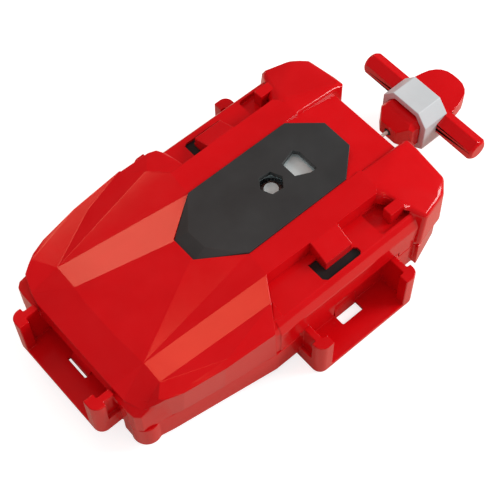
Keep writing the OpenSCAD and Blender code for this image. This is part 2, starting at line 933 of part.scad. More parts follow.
module bottom_cover() {
    color(case_red) difference() {
        union() {
            difference() {
                slab(case_lift, part_z) lower_plan(0);
                slab(floor_z, part_z + over) lower_plan(wall);
            }
            block(
                -front_back_x, wall - front_back_x,
                -front_wall_half, front_wall_half,
                case_lift, front_wall_top
            );
            front_dock();
            both() {
                translate([0, dock_back, 0]) dock();
                block(-dock_w / 2, dock_w / 2, dock_back - wall, dock_back, 0, part_z);
                translate([-ear_x, ear_half, 0]) disc(ear_r, case_lift, part_z);
                translate([rear_screw_x, rear_screw_half, 0]) disc(rear_boss_r, case_lift, part_z);
            }
            disc(well_r + well_wall, case_lift, well_roof);
            translate([-spool_x, 0, 0]) disc(spool_boss_r, case_lift, floor_z + spool_boss_h);
            translate([-idler_x, 0, 0]) disc(idler_shaft_r + wall, well_top, gear_z - free_gap);
            gear_posts();
        }
        disc(well_r, case_lift - over, well_top);
        disc(bush_r + fit_gap, case_lift, well_roof + over);
        translate([-spool_x, 0, 0])
            disc(spool_shaft_r + fit_gap, case_lift + floor_t - shaft_seat, floor_z + spool_boss_h + over);
        translate([-idler_x, 0, 0]) disc(idler_shaft_r + fit_gap, well_roof - shaft_seat, gear_z + over);
        screw_recesses();
        eyelet_bore();
        both() translate([0, dock_back, 0]) latch_cut();
        translate([-front_back_x, 0, front_dock_lift]) rotate(90) latch_cut();
    }
}

// Dark panel, flat with four bevelled front facets and two windows
module top_panel() {
    color(panel_grey) difference() {
        hull() {
            slab(panel_z, panel_z + panel_t / 3) polygon(panel_plan(0));
            slab(panel_z, panel_z + panel_t) polygon(both_sides([
                [panel_tail, panel_tail_half],
                [panel_back, panel_half],
                [-panel_front, panel_half],
                [panel_crest - panel_nose, panel_nose_half - panel_rim]
            ]));
        }
        slab(panel_z - over, panel_z + panel_t + over) {
            rotate(hex_turn) circle(hex_r, $fn = 6);
            polygon([
                [rotor_window_near, rotor_window_in],
                [rotor_window_far - panel_rim, rotor_window_out - panel_rim / 2],
                [rotor_window_far, rotor_window_in],
                [rotor_window_far, -rotor_window_out],
                [rotor_window_far - 2 * panel_rim, -rotor_window_out],
                [rotor_window_near, -rotor_window_in]
            ]);
        }
    }
}

module screw(head_z) {
    disc(screw_head_r, head_z, head_z + screw_head_h);
    disc(screw_r, head_z + screw_head_h / 2, part_z + screw_bite);
}

module case_screws() {
    color(steel) both() {
        translate([-ear_x, ear_half, 0]) screw(screw_recess - screw_head_h);
        translate([rear_screw_x, rear_screw_half, 0]) screw(screw_recess - screw_head_h);
    }
}

module string_eyelet() {
    inside = rear_x - wall;
    color(pale_grey) translate([0, 0, part_z]) rotate([0, 90, 0]) rotate_extrude() polygon([
        [eyelet_mouth_r, inside - eyelet_flange_t],
        [eyelet_flange_r, inside - eyelet_flange_t],
        [eyelet_flange_r, inside - fit_gap],
        [eyelet_r, inside - fit_gap],
        [eyelet_r, rear_x + fit_gap],
        [eyelet_flange_r, rear_x + fit_gap],
        [eyelet_flange_r, rear_x + eyelet_flange_t],
        [eyelet_nose_r, rear_x + eyelet_nose],
        [eyelet_bore_r, rear_x + eyelet_nose],
        [eyelet_bore_r, rear_x]
    ]);
}

// Plate that holds the shafts' upper ends, seen dark through the L-shaped slots
module gear_plate() {
    front_x = spool_x + 3 * wall;
    color(black) difference() {
        slab(plate_z, plate_top) polygon(both_sides([
            [post_back_x + post_r, post_half + post_r],
            [-post_front_x - post_r, post_half + post_r],
            [-post_front_x - 2 * post_r, hub_flange_r - post_r],
            [-front_x, hub_flange_r / 2]
        ]));
        translate([-spool_x, 0, 0]) disc(spool_shaft_r + fit_gap, plate_z - over, plate_top + over);
        translate([-idler_x, 0, 0]) disc(idler_shaft_r + fit_gap, plate_z - over, plate_top + over);
        disc(upper_bush_r + fit_gap, plate_z - over, plate_top + over);
        for (x = [-post_front_x, post_back_x]) both() translate([x, post_half, 0]) {
            disc(plate_screw_r + fit_gap, plate_z - over, plate_top + over);
            disc(plate_screw_head_r + fit_gap, plate_top - plate_screw_head_h, plate_top + over);
        }
    }
}

module plate_screws() {
    color(steel) for (x = [-post_front_x, post_back_x]) both() translate([x, post_half, 0]) {
        disc(plate_screw_head_r, plate_top - plate_screw_head_h, plate_top);
        disc(plate_screw_r, plate_top - plate_screw_len, plate_top - plate_screw_head_h / 2);
    }
}

module spool_shaft() {
    color(steel) translate([-spool_x, 0, 0]) disc(spool_shaft_r, floor_z - shaft_seat, plate_top);
}

module spring_arbor() {
    color(brass) translate([-spool_x, 0, 0])
        ring(arbor_r, spool_shaft_r + fit_gap, floor_z + spool_boss_h, web_z - free_gap);
}

module spool_drum() {
    last = leave_angle - winding_turns * 360;
    color(pale_grey) translate([-spool_x, 0, 0]) {
        ring(flange_r, barrel_r, spool_z, drum_z);
        ring(drum_r, barrel_r, spool_z, web_z);
        ring(flange_r, spool_shaft_r + run_gap, web_z, gear_z);
        rotate(last) block(
            drum_r - run_gap * 4, winding_r + string_r,
            -string_d - anchor_t, -string_d,
            drum_z - run_gap, winding_top - winding_turns * winding_pitch + string_r
        );
    }
}

module spool_cap() {
    color(pale_grey) translate([-spool_x, 0, 0]) ring(cap_r, arbor_r + free_gap, spool_z, drum_z);
}

module gear(teeth, bore_r) {
    difference() {
        slab(gear_z, gear_z + gear_h) polygon(gear_plan(teeth));
        disc(bore_r, gear_z - over, gear_z + gear_h + over);
    }
}

module spool_gear() {
    color(pale_grey) translate([-spool_x, 0, 0]) gear(spool_teeth, spool_shaft_r + run_gap);
}

// Spiral strip from the arbor to the barrel's wall
module mainspring() {
    steps = spring_turns * spring_steps;
    spiral = [for (i = [0 : steps]) [spring_in + (spring_out - spring_in) * i / steps, i * 360 / spring_steps]];
    color(steel) translate([-spool_x, 0, 0]) slab(drum_z + spring_edge, web_z - spring_edge) polygon(concat(
        [for (p = spiral) polar(p[0] - strip_t / 2, p[1])],
        [for (i = [steps : -1 : 0]) polar(spiral[i][0] + strip_t / 2, spiral[i][1])]
    ));
}

module string_winding() {
    echo(winding_gap = coil_gap(winding_points, string_r, round(winding_steps / 2)));
    color(string_white) tube(winding_points, string_r, winding_sides);
}

module string() {
    color(string_white) tube(along_route([
        leave_point + leave_dir * string_d,
        [eyelet_x, 0, part_z],
        [handle_x - stem_len + bead_x, 0, part_z]
    ], string_step), string_r, string_sides);
}

module idler_shaft() {
    color(steel) translate([-idler_x, 0, 0]) disc(idler_shaft_r, well_roof - shaft_seat, plate_top);
}

// The idler stands half a tooth round, so that its gaps face both neighbours
module idler_gear() {
    color(pale_grey) translate([-idler_x, 0, 0]) rotate(180 / idler_teeth)
        gear(idler_teeth, idler_shaft_r + run_gap);
}

module hub_bush() {
    color(brass) {
        ring(bush_r, journal_r + run_gap, flange_top + free_gap / 2, well_roof + bush_flange_t);
        ring(bush_flange_r, journal_r + run_gap, well_roof, well_roof + bush_flange_t);
    }
}

module upper_bush() {
    color(brass) {
        ring(upper_bush_r, hub_shaft_r + run_gap, plate_z - upper_bush_drop, plate_top);
        ring(upper_bush_flange_r, hub_shaft_r + run_gap, plate_top, plate_top + upper_bush_flange_t);
    }
}

module hub_shaft() {
    color(steel) ring(hub_shaft_r, plunger_r + run_gap, flange_top - hub_seat, hub_shaft_top);
}

module hub_pinion() {
    color(brass) gear(pinion_teeth, hub_shaft_r + fit_gap);
}

module rotor_disc() {
    color(disc_grey) {
        ring(rotor_r, hub_shaft_r + fit_gap, rotor_z, rotor_z + rotor_t);
        ring(rotor_collar_r, hub_shaft_r + fit_gap, rotor_z - rotor_collar_h, rotor_z + rotor_t / 2);
    }
}

module rotor_clip() {
    color(steel) ring(rotor_clip_r, hub_shaft_r + fit_gap, rotor_z + rotor_t, hub_shaft_top);
}

module prong_plan() {
    polygon(concat(
        arc(prong_r, -prong_sweep / 2, prong_sweep / 2, 8),
        arc(prong_r - prong_t, prong_sweep / 2, -prong_sweep / 2, 8)
    ));
}

// Hub that drives the top: a flange with three hooked prongs, a journal and a sleeve
module launch_hub() {
    color(pale_grey) difference() {
        union() {
            disc(hub_flange_r, flange_top - hub_flange_t, flange_top);
            disc(sleeve_r, sleeve_z, flange_top);
            disc(journal_r, flange_top - hub_seat, journal_top);
            for (i = [0 : prong_count - 1]) rotate(i * 360 / prong_count) {
                slab(prong_z, flange_top - hub_seat) prong_plan();
                rotate(prong_sweep / 2) block(
                    prong_r - prong_t, prong_r - hub_seat / 2, -hub_seat, hook_w,
                    prong_z, prong_z + hook_h
                );
            }
        }
        disc(spring_pocket_r, sleeve_z - over, spring_pocket_top);
        disc(plunger_r + run_gap, sleeve_z, flange_top);
        disc(hub_shaft_r + fit_gap, flange_top - hub_seat, journal_top + over);
    }
}

module plunger() {
    color(steel) {
        disc(plunger_head_r, plunger_z, plunger_z + plunger_head_h);
        disc(plunger_r, plunger_z + plunger_head_h / 2, plunger_top);
    }
}

module plunger_spring() {
    low = plunger_z + plunger_head_h + coil_wire_r;
    high = spring_pocket_top - coil_wire_r;
    count = coil_curls * coil_steps;
    points = [
        for (i = [0 : count])
        concat(polar(coil_r, i * 360 / coil_steps), [low + (high - low) * i / count])
    ];
    echo(spring_gap = coil_gap(points, coil_wire_r, round(coil_steps / 2)));
    color(steel) tube(points, coil_wire_r, coil_sides);
}

module plunger_clip() {
    color(steel) ring(plunger_clip_r, plunger_r + fit_gap, hub_shaft_top, hub_shaft_top + plunger_clip_h);
}

module hex_bar(r, length) {
    rotate([90, 0, 0]) rotate(30) cylinder(r = r, h = length, center = true, $fn = 6);
}

// Six-sided bar with coned ends, a finger tab behind it and a tongue for the stem
module handle_bar() {
    color(case_red) translate([handle_x, 0, part_z]) difference() {
        union() {
            intersection() {
                hex_bar(bar_r, bar_len);
                rotate([90, 0, 0]) rotate_extrude() polygon(
                    let (half = bar_len / 2)
                    [
                        [0, -half],
                        [bar_r - bar_chamfer, -half],
                        [bar_r + fit_gap, bar_chamfer - half],
                        [bar_r + fit_gap, half - bar_chamfer],
                        [bar_r - bar_chamfer, half],
                        [0, half]
                    ]
                );
            }
            slab(tab_lift - tab_t, tab_lift)
                polygon(both_sides([for (share = tab_shares) [tab_len * share[0], tab_half * share[1]]]));
            block(-bar_r - tongue_len, 0, -tongue_half, tongue_half, -tongue_h, tongue_h);
        }
        translate([pin_x - handle_x, 0, 0]) disc(pin_r + fit_gap, -stem_h, stem_h);
    }
}

function collar_section(inset) =
    let (edge = inset * collar_edge_share)
    both_sides([
        [collar_h - inset, collar_flat - edge],
        [collar_shoulder - edge, collar_half - inset],
        [edge - collar_skirt, collar_half - inset],
        [inset - collar_h, collar_flat - edge]
    ]);

// Sections of the collar are drawn with their height first
module upright(from_x, to_x) {
    along_x(from_x, to_x) rotate(-90) mirror([1, 0]) children();
}

module handle_collar() {
    color(pale_grey) translate([0, 0, part_z]) difference() {
        upright(collar_end - collar_len, collar_end) polygon(collar_section(0));
        upright(collar_end - collar_len - over, collar_end + over) polygon(collar_section(collar_t));
        translate([handle_x, 0, 0]) hex_bar(bar_r + fit_gap, bar_len);
    }
}

// Tapered stem that the string enters, slotted for the bar's tongue
module handle_stem() {
    tip = handle_x - stem_len;
    color(case_red) translate([0, 0, part_z]) difference() {
        intersection() {
            slab(-stem_h, stem_h) polygon(both_sides([
                [collar_end, stem_half],
                [tip + stem_taper, stem_half],
                [tip, stem_tip_half]
            ]));
            upright(tip, collar_end) polygon(collar_section(collar_t + fit_gap));
            across(stem_half) polygon([
                [collar_end, -stem_h],
                [collar_end, stem_h],
                [tip + stem_taper, stem_h],
                [tip, stem_tip_h],
                [tip, -stem_tip_h],
                [tip + stem_taper, -stem_h]
            ]);
        }
        translate([tip - over, 0, 0]) rotate([0, 90, 0]) cylinder(r = stem_bore_r, h = stem_taper + 2 * over);
        translate([tip + bead_x, 0, 0]) rotate([0, 90, 0]) cylinder(r = bead_r + fit_gap, h = bead_len + over);
        block(
            tongue_tip - fit_gap, collar_end + over,
            -tongue_half - fit_gap, tongue_half + fit_gap,
            -tongue_h - fit_gap, tongue_h + fit_gap
        );
        translate([handle_x, 0, 0]) hex_bar(bar_r + fit_gap, bar_len);
        translate([pin_x, 0, 0]) disc(pin_r + fit_gap, -stem_h - over, stem_h + over);
    }
}

// Crimped bead that stops the string inside the stem
module string_bead() {
    color(brass) translate([handle_x - stem_len + bead_x, 0, part_z]) rotate([0, 90, 0])
        cylinder(r = bead_r, h = bead_len);
}

module handle_pin() {
    color(steel) translate([pin_x, 0, part_z]) disc(pin_r, -stem_h, stem_h);
}

bottom_cover();
top_cover();
top_panel();
case_screws();
string_eyelet();
gear_plate();
plate_screws();
spool_shaft();
spring_arbor();
spool_drum();
spool_cap();
spool_gear();
mainspring();
string_winding();
string();
idler_shaft();
idler_gear();
hub_bush();
upper_bush();
hub_shaft();
hub_pinion();
rotor_disc();
rotor_clip();
launch_hub();
plunger();
plunger_spring();
plunger_clip();
handle_stem();
handle_bar();
handle_collar();
string_bead();
handle_pin();
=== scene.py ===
import math
import bmesh
import bpy
from mathutils import Matrix, Vector


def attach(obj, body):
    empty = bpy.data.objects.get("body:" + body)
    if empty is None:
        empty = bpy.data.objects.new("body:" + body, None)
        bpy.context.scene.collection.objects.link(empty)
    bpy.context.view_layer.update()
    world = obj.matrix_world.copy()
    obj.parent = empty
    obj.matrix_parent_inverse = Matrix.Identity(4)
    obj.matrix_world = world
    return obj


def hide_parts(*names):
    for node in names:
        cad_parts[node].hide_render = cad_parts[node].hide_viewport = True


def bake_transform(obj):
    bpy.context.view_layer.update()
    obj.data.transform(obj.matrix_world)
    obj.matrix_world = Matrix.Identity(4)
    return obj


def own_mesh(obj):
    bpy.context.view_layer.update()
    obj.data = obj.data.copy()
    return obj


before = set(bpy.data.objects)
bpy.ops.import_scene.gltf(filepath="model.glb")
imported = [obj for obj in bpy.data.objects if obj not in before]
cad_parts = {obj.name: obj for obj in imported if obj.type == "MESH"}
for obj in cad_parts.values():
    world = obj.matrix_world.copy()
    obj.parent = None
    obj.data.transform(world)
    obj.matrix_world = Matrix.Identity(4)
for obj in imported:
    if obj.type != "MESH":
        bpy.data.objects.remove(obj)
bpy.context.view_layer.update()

# Shapes are given in millimetres of the shared frame and built in metres
MM = 0.001
SIDES = ((1, "far"), (-1, "near"))
WHITE = (1, 1, 1, 1)

# Camera at the photograph's angle
EYE = Vector((-118.55, -131.21, 298.61)) * MM
FORWARD = Vector((0.3253, 0.3852, -0.8636))
RIGHT = Vector((0.7526, -0.6585, -0.0102))
DOWN = Vector((-0.5726, -0.6466, -0.5040))
FOCAL_PX = 1227.8
IMAGE_PX = 500
SENSOR_MM = 36


def add_camera():
    data = bpy.data.cameras.new("camera")
    data.sensor_width = SENSOR_MM
    data.lens = FOCAL_PX / IMAGE_PX * SENSOR_MM
    data.clip_start = 0.01
    data.clip_end = 10
    camera = link("camera", data)
    axes = Matrix((RIGHT, -DOWN, -FORWARD)).transposed()
    camera.matrix_world = Matrix.Translation(EYE) @ axes.to_4x4()
    bpy.context.scene.camera = camera


def add_light(name, place, target, width, watts, colour=(1, 1, 1)):
    """Square lamp, with its places and width in metres."""
    data = bpy.data.lights.new(name, "AREA")
    data.shape = "RECTANGLE"
    data.size = data.size_y = width
    data.energy = watts
    data.color = colour
    lamp = link(name, data)
    lamp.location = place
    lamp.rotation_mode = "QUATERNION"
    lamp.rotation_quaternion = (Vector(target) - Vector(place)).to_track_quat("-Z", "Y")


def link(name, data):
    piece = bpy.data.objects.new(name, data)
    bpy.context.scene.collection.objects.link(piece)
    return piece


# Materials
NOISE_LOW = 0.3
NOISE_HIGH = 0.7
COAT_ROUGHNESS = 0.12


def linear(level):
    """Linear share of an sRGB level from 0 to 255."""
    share = level / 255
    return share / 12.92 if share <= 0.04045 else ((share + 0.055) / 1.055) ** 2.4


def rgb(red, green, blue):
    return (linear(red), linear(green), linear(blue), 1)


class Nodes:
    """Short names for building one material's nodes."""

    def __init__(self, name):
        self.material = bpy.data.materials.new(name)
        self.material.use_nodes = True
        self.tree = self.material.node_tree
        self.tree.nodes.clear()
        self.out = self.new("OutputMaterial")
        self.shader = self.new("BsdfPrincipled")
        self.link(self.shader.outputs[0], self.out.inputs["Surface"])

    def link(self, a, b):
        self.tree.links.new(a, b)

    def new(self, kind):
        return self.tree.nodes.new("ShaderNode" + kind)

    def noise(self, scale, detail=2):
        texture = self.new("TexNoise")
        texture.inputs["Scale"].default_value = scale
        texture.inputs["Detail"].default_value = detail
        texture.inputs["Roughness"].default_value = 0.5
        self.link(self.new("TexCoord").outputs["Object"], texture.inputs["Vector"])
        return texture.outputs["Fac"]

    def ramp(self, fac, low, high, start=NOISE_LOW, end=NOISE_HIGH):
        node = self.new("ValToRGB")
        for element, position, colour in zip(node.color_ramp.elements, (start, end), (low, high)):
            element.position = position
            element.color = rgb(*colour)
        self.link(fac, node.inputs["Fac"])
        return node.outputs["Color"]

    def spread(self, fac, low, high):
        node = self.new("MapRange")
        node.inputs["From Min"].default_value = NOISE_LOW
        node.inputs["From Max"].default_value = NOISE_HIGH
        node.inputs["To Min"].default_value = low
        node.inputs["To Max"].default_value = high
        self.link(fac, node.inputs["Value"])
        return node.outputs["Result"]

    def bump(self, height, strength, distance):
        node = self.new("Bump")
        node.inputs["Strength"].default_value = strength
        node.inputs["Distance"].default_value = distance
        self.link(height, node.inputs["Height"])
        self.link(node.outputs["Normal"], self.shader.inputs["Normal"])


def plastic(name, low, high, rough, grain, coat=0.0, specular=0.5):
    n = Nodes(name)
    n.link(n.ramp(n.noise(90, 3), low, high), n.shader.inputs["Base Color"])
    n.link(n.spread(n.noise(260), *rough), n.shader.inputs["Roughness"])
    n.shader.inputs["Specular IOR Level"].default_value = specular
    n.shader.inputs["Coat Weight"].default_value = coat
    n.shader.inputs["Coat Roughness"].default_value = COAT_ROUGHNESS
    n.bump(n.noise(2600), grain, 0.00012)
    return n.material


def metal(name, low, high, rough):
    n = Nodes(name)
    n.link(n.ramp(n.noise(300, 3), low, high), n.shader.inputs["Base Color"])
    n.link(n.spread(n.noise(1800, 3), *rough), n.shader.inputs["Roughness"])
    n.shader.inputs["Metallic"].default_value = 1
    n.bump(n.noise(2400), 0.05, 0.0001)
    return n.material


def twine(name, low, high):
    n = Nodes(name)
    wave = n.new("TexWave")
    wave.wave_type = "BANDS"
    wave.bands_direction = "DIAGONAL"
    wave.inputs["Scale"].default_value = 420
    wave.inputs["Distortion"].default_value = 1.5
    n.link(n.new("TexCoord").outputs["Object"], wave.inputs["Vector"])
    n.link(n.ramp(wave.outputs["Fac"], low, high, 0.1, 0.9), n.shader.inputs["Base Color"])
    n.link(n.spread(n.noise(1500), 0.7, 0.9), n.shader.inputs["Roughness"])
    n.shader.inputs["Sheen Weight"].default_value = 0.3
    n.bump(wave.outputs["Fac"], 0.5, 0.0001)
    return n.material


RED = plastic("glossy_red", (207, 8, 15), (214, 13, 20), (0.13, 0.17), 0.02, coat=0.2, specular=0.4)
DARK = plastic("matte_dark", (48, 51, 52), (55, 59, 60), (0.42, 0.5), 0.08)
PALE = plastic("pale_plastic", (197, 206, 209), (207, 216, 219), (0.3, 0.38), 0.04)
GREY = plastic("disc_grey", (209, 222, 223), (221, 234, 235), (0.3, 0.4), 0.04)
BLACK = plastic("black_plastic", (22, 30, 32), (32, 40, 42), (0.35, 0.45), 0.05)
STEEL = metal("steel", (178, 180, 184), (200, 202, 206), (0.22, 0.36))
SPRING = metal("spring_steel", (120, 122, 128), (150, 152, 158), (0.25, 0.4))
BRASS = metal("brass", (196, 158, 82), (212, 174, 98), (0.22, 0.34))
TWINE = twine("twine", (214, 211, 202), (240, 238, 230))


# Finishing a piece
def settle(piece):
    """Applies the modifiers to the piece's own mesh."""
    bpy.context.view_layer.update()
    graph = bpy.context.evaluated_depsgraph_get()
    mesh = bpy.data.meshes.new_from_object(piece.evaluated_get(graph))
    piece.modifiers.clear()
    piece.data = mesh


def add_bevel(piece, width, segments, angle, clamp):
    bevel = piece.modifiers.new("bevel", "BEVEL")
    bevel.width = width * MM
    bevel.segments = segments
    bevel.limit_method = "ANGLE"
    bevel.angle_limit = math.radians(angle)
    bevel.use_clamp_overlap = clamp
    bevel.miter_outer = "MITER_ARC"
    settle(piece)


def smooth_shade(piece, angle):
    for polygon in piece.data.polygons:
        polygon.use_smooth = True
    piece.data.set_sharp_from_angle(angle=math.radians(angle))
    weighted = piece.modifiers.new("weighted", "WEIGHTED_NORMAL")
    weighted.keep_sharp = True
    weighted.weight = 100
    settle(piece)


def round_edges(piece, width, angle=28):
    """Rounds the edges of a finished shape and shades it."""
    add_bevel(piece, width, segments=2, angle=angle, clamp=False)
    smooth_shade(piece, 35)


def soften(piece, width):
    """Rounds the edges of a block before it is joined to others."""
    add_bevel(piece, width, segments=3, angle=4, clamp=True)
    return piece


def dress(piece, material, body, slot, *nodes):
    piece.data.materials.clear()
    piece.data.materials.append(material)
    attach(piece, body)
    if nodes:
        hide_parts(*nodes)
    return piece


def clean_copy(node):
    """Copy of a solid's mesh without double points and without edges inside flat faces."""
    mesh = bpy.data.meshes.new(node + "_copy")
    bm = bmesh.new()
    bm.from_mesh(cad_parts[node].data)
    bmesh.ops.remove_doubles(bm, verts=bm.verts, dist=2e-6)
    bmesh.ops.dissolve_limit(
        bm, angle_limit=math.radians(0.6), use_dissolve_boundaries=False,
        verts=bm.verts, edges=bm.edges, delimit={"NORMAL"},
    )
    bm.to_mesh(mesh)
    bm.free()
    return mesh


def rounded(node, name, material, body, slot, width):
    piece = link(name, clean_copy(node))
    round_edges(piece, width)
    dress(piece, material, body, slot, node)


def paint(material, *nodes):
    for node in nodes:
        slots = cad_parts[node].data.materials
        slots.clear()
        slots.append(material)


# Building blocks
def solid(name, corners, faces):
    mesh = bpy.data.meshes.new(name)
    mesh.from_pydata([Vector(corner) * MM for corner in corners], [], faces)
    bm = bmesh.new()
    bm.from_mesh(mesh)
    bmesh.ops.recalc_face_normals(bm, faces=bm.faces)
    bm.to_mesh(mesh)
    bm.free()
    return link(name, mesh)


def hull(name, points):
    bm = bmesh.new()
    for point in points:
        bm.verts.new(Vector(point) * MM)
    shape = bmesh.ops.convex_hull(bm, input=bm.verts)
    inner = shape["geom_interior"] + shape["geom_unused"]
    spare = {part for part in inner if isinstance(part, bmesh.types.BMVert)}
    bmesh.ops.delete(bm, geom=list(spare), context="VERTS")
    bmesh.ops.dissolve_limit(bm, angle_limit=math.radians(0.5), verts=bm.verts, edges=bm.edges)
    bmesh.ops.recalc_face_normals(bm, faces=bm.faces)
    mesh = bpy.data.meshes.new(name)
    bm.to_mesh(mesh)
    bm.free()
    return link(name, mesh)


def sweep(name, ring, move):
    """Solid from a flat ring of points, moved along a straight line."""
    count = len(ring)
    corners = [Vector(point) for point in ring] + [Vector(point) + Vector(move) for point in ring]
    ends = [tuple(range(count)), tuple(range(2 * count - 1, count - 1, -1))]
    sides = [(i, (i + 1) % count, (i + 1) % count + count, i + count) for i in range(count)]
    return solid(name, corners, ends + sides)


def upright(name, plan, low, high):
    return sweep(name, [(x, y, low) for x, y in plan], (0, 0, high - low))


def along_x(name, section, start, end):
    return sweep(name, [(start, y, z) for y, z in section], (end - start, 0, 0))


def along_y(name, section, half):
    return sweep(name, [(x, -half, z) for x, z in section], (0, 2 * half, 0))


def block(name, low, high):
    plan = [(low[0], low[1]), (high[0], low[1]), (high[0], high[1]), (low[0], high[1])]
    return upright(name, plan, low[2], high[2])


def side_block(name, sign, x, y, z):
    """Block between two x, y and z, with y counted outwards on either side of the case."""
    low, high = sorted((sign * y[0], sign * y[1]))
    return block(name, (x[0], low, z[0]), (x[1], high, z[1]))


def combine(base, tools, mode):
    for tool in tools:
        change = base.modifiers.new("combine", "BOOLEAN")
        change.operation = mode
        change.solver = "EXACT"
        change.object = tool
        settle(base)
        bpy.data.objects.remove(tool)


def at_side(sign, points):
    """Points of the far side as they are, or mirrored to the near side."""
    return [(x, sign * y, *z) for x, y, *z in points]


def both_sides(plan):
    return list(plan) + [(x, -y) for x, y in reversed(plan)]


def at_heights(plan, *heights):
    return [(x, y, z) for x, y in plan for z in heights]


def panel_plan(inset):
    return both_sides([
        (23.6 - inset, 4.9 - inset / 2), (15.5 - inset / 2, 12 - inset),
        (inset / 2 - 18.2, 12 - inset), (inset - 29.8, 3.9 - inset / 2),
    ])


# Upper shell
PART_Z = 12      # the upper shell stands on the lower one
TOP_Z = 30       # flat top
DECK_Z = 29.98   # deck and shoulders end just under it
ROOM_Z = 11      # rooms and cuts start below the shell
CUT_Z = 32       # and cuts from above start over it
EYELET_BORE = 2.23


def hood():
    """Flat top, faceted hood and its walls in one solid.

    P to R and A to D go round the flat top, S to 9 lie on the hood and its rim, and F is the
    front edge. A foot has the letter of the corner above it and an underscore.
    """
    far = {
        "P": (-30.12, 3.41, 29.83), "Q": (-18.2, 12, TOP_Z), "R": (-17.6, 20.2, TOP_Z),
        "S": (-21.8, 25.3, 29.3), "V": (-26.3, 31.4, 27), "K": (-40, 27.7, 26), "L": (-51.05, 28.1, 25.3),
        "N": (-59.5, 25.9, 25.1), "I": (-56.42, 11.5, 26.21), "O": (-56.04, 19.46, 25.29),
        "M": (-57, 6.5, 26.1), "3": (-42.1, 30.6, 25.8), "5": (-53.8, 28.8, 25), "6": (-58.2, 27.2, 24.9),
        "7": (-60.8, 25.5, 24.9), "8": (-63.1, 24, 24.3), "9": (-65, 18.9, 23.6), "F": (-65.7, 15.2, 23.4),
        "A": (18.6, 20.4, TOP_Z), "B": (20, 18.8, TOP_Z), "C": (20.6, 12.3, TOP_Z), "D": (15.5, 12.3, TOP_Z),
    }
    near = {key: (x, -y, z) for key, (x, y, z) in far.items()}
    near.update({
        "R": (-19, -19.5, TOP_Z), "S": (-23.01, -25.79, 28.6), "V": (-26.6, -31.6, 24.8),
        "3": (-42, -30.6, 25), "I": (-56.45, -16.51, 26.14), "O": (-56.46, -22.72, 25.21),
        "K": (-40, -29, 25.3), "L": (-51.2, -28, 25.1), "N": (-59.5, -25.9, 25),
        "7": (-60.9, -26.1, 23.6), "8": (-63.6, -24.5, 21.9), "9": (-65.4, -19.4, 22.1),
    })
    feet = {
        "R": (-17.6, 20.2), "V": (-26, 31.5), "3": (-42, 29.3), "5": (-53.8, 27.4), "6": (-58, 26.2),
        "7": (-60.6, 25), "8": (-63.2, 23.3), "9": (-65.6, 18), "F": (-66.2, 14.7),
        "A": (18.6, 20.4), "B": (20, 18.8), "C": (20.6, 12.3), "D": (15.5, 12.3),
    }
    corners = []
    index = {}
    for side, table in (("f", far), ("n", near)):
        for key, place in table.items():
            index[key + side] = len(corners)
            corners.append(place)
    for side, sign in (("f", 1), ("n", -1)):
        for key, (x, y) in feet.items():
            index[key + "_" + side] = len(corners)
            corners.append((x, sign * y, PART_Z))
    faces = [
        "Pf Qf Qn Pn", "Pf Pn Mn Mf", "Mf Mn Fn Ff",
        "Pf Qf Of If", "Qf Rf Of", "Rf Sf Of", "Pn Qn In", "Qn Rn In", "Rn Sn On In",
        "Qf Rf Af Bf Cf Df Dn Cn Bn An Rn Qn",
        "Ff Fn F_n F_f", "Df Dn D_n D_f",
    ]
    for side in "fn":
        faces += [face.replace("*", side) for face in (
            "P* M* I*", "S* O* K*", "K* O* L*", "L* O* N*", "N* O* 8*", "8* O* 9*", "9* O* I*", "9* I* F*",
            "I* M* F*", "S* K* V*", "V* K* 3*", "3* K* L*", "3* L* 5*", "5* L* N*", "5* N* 6*", "6* N* 7*",
            "7* N* 8*", "V* 3* 3_* V_*", "3* 5* 5_* 3_*", "5* 6* 6_* 5_*", "6* 7* 7_* 6_*", "7* 8* 8_* 7_*",
            "8* 9* 9_* 8_*", "9* F* F_* 9_*", "R* S* R_*", "S* V* V_*", "S* V_* R_*", "R* A* A_* R_*",
            "A* B* B_* A_*", "B* C* C_* B_*", "C* D* D_* C_*",
        )]
    below = [key + "_f" for key in "RABCD"] + [key + "_n" for key in "DCBAR"]
    below += [key + "_n" for key in "V356789F"] + [key + "_f" for key in "F987653V"]
    faces.append(" ".join(below))
    return solid("top_shell", corners, [tuple(index[key] for key in face.split()) for face in faces])


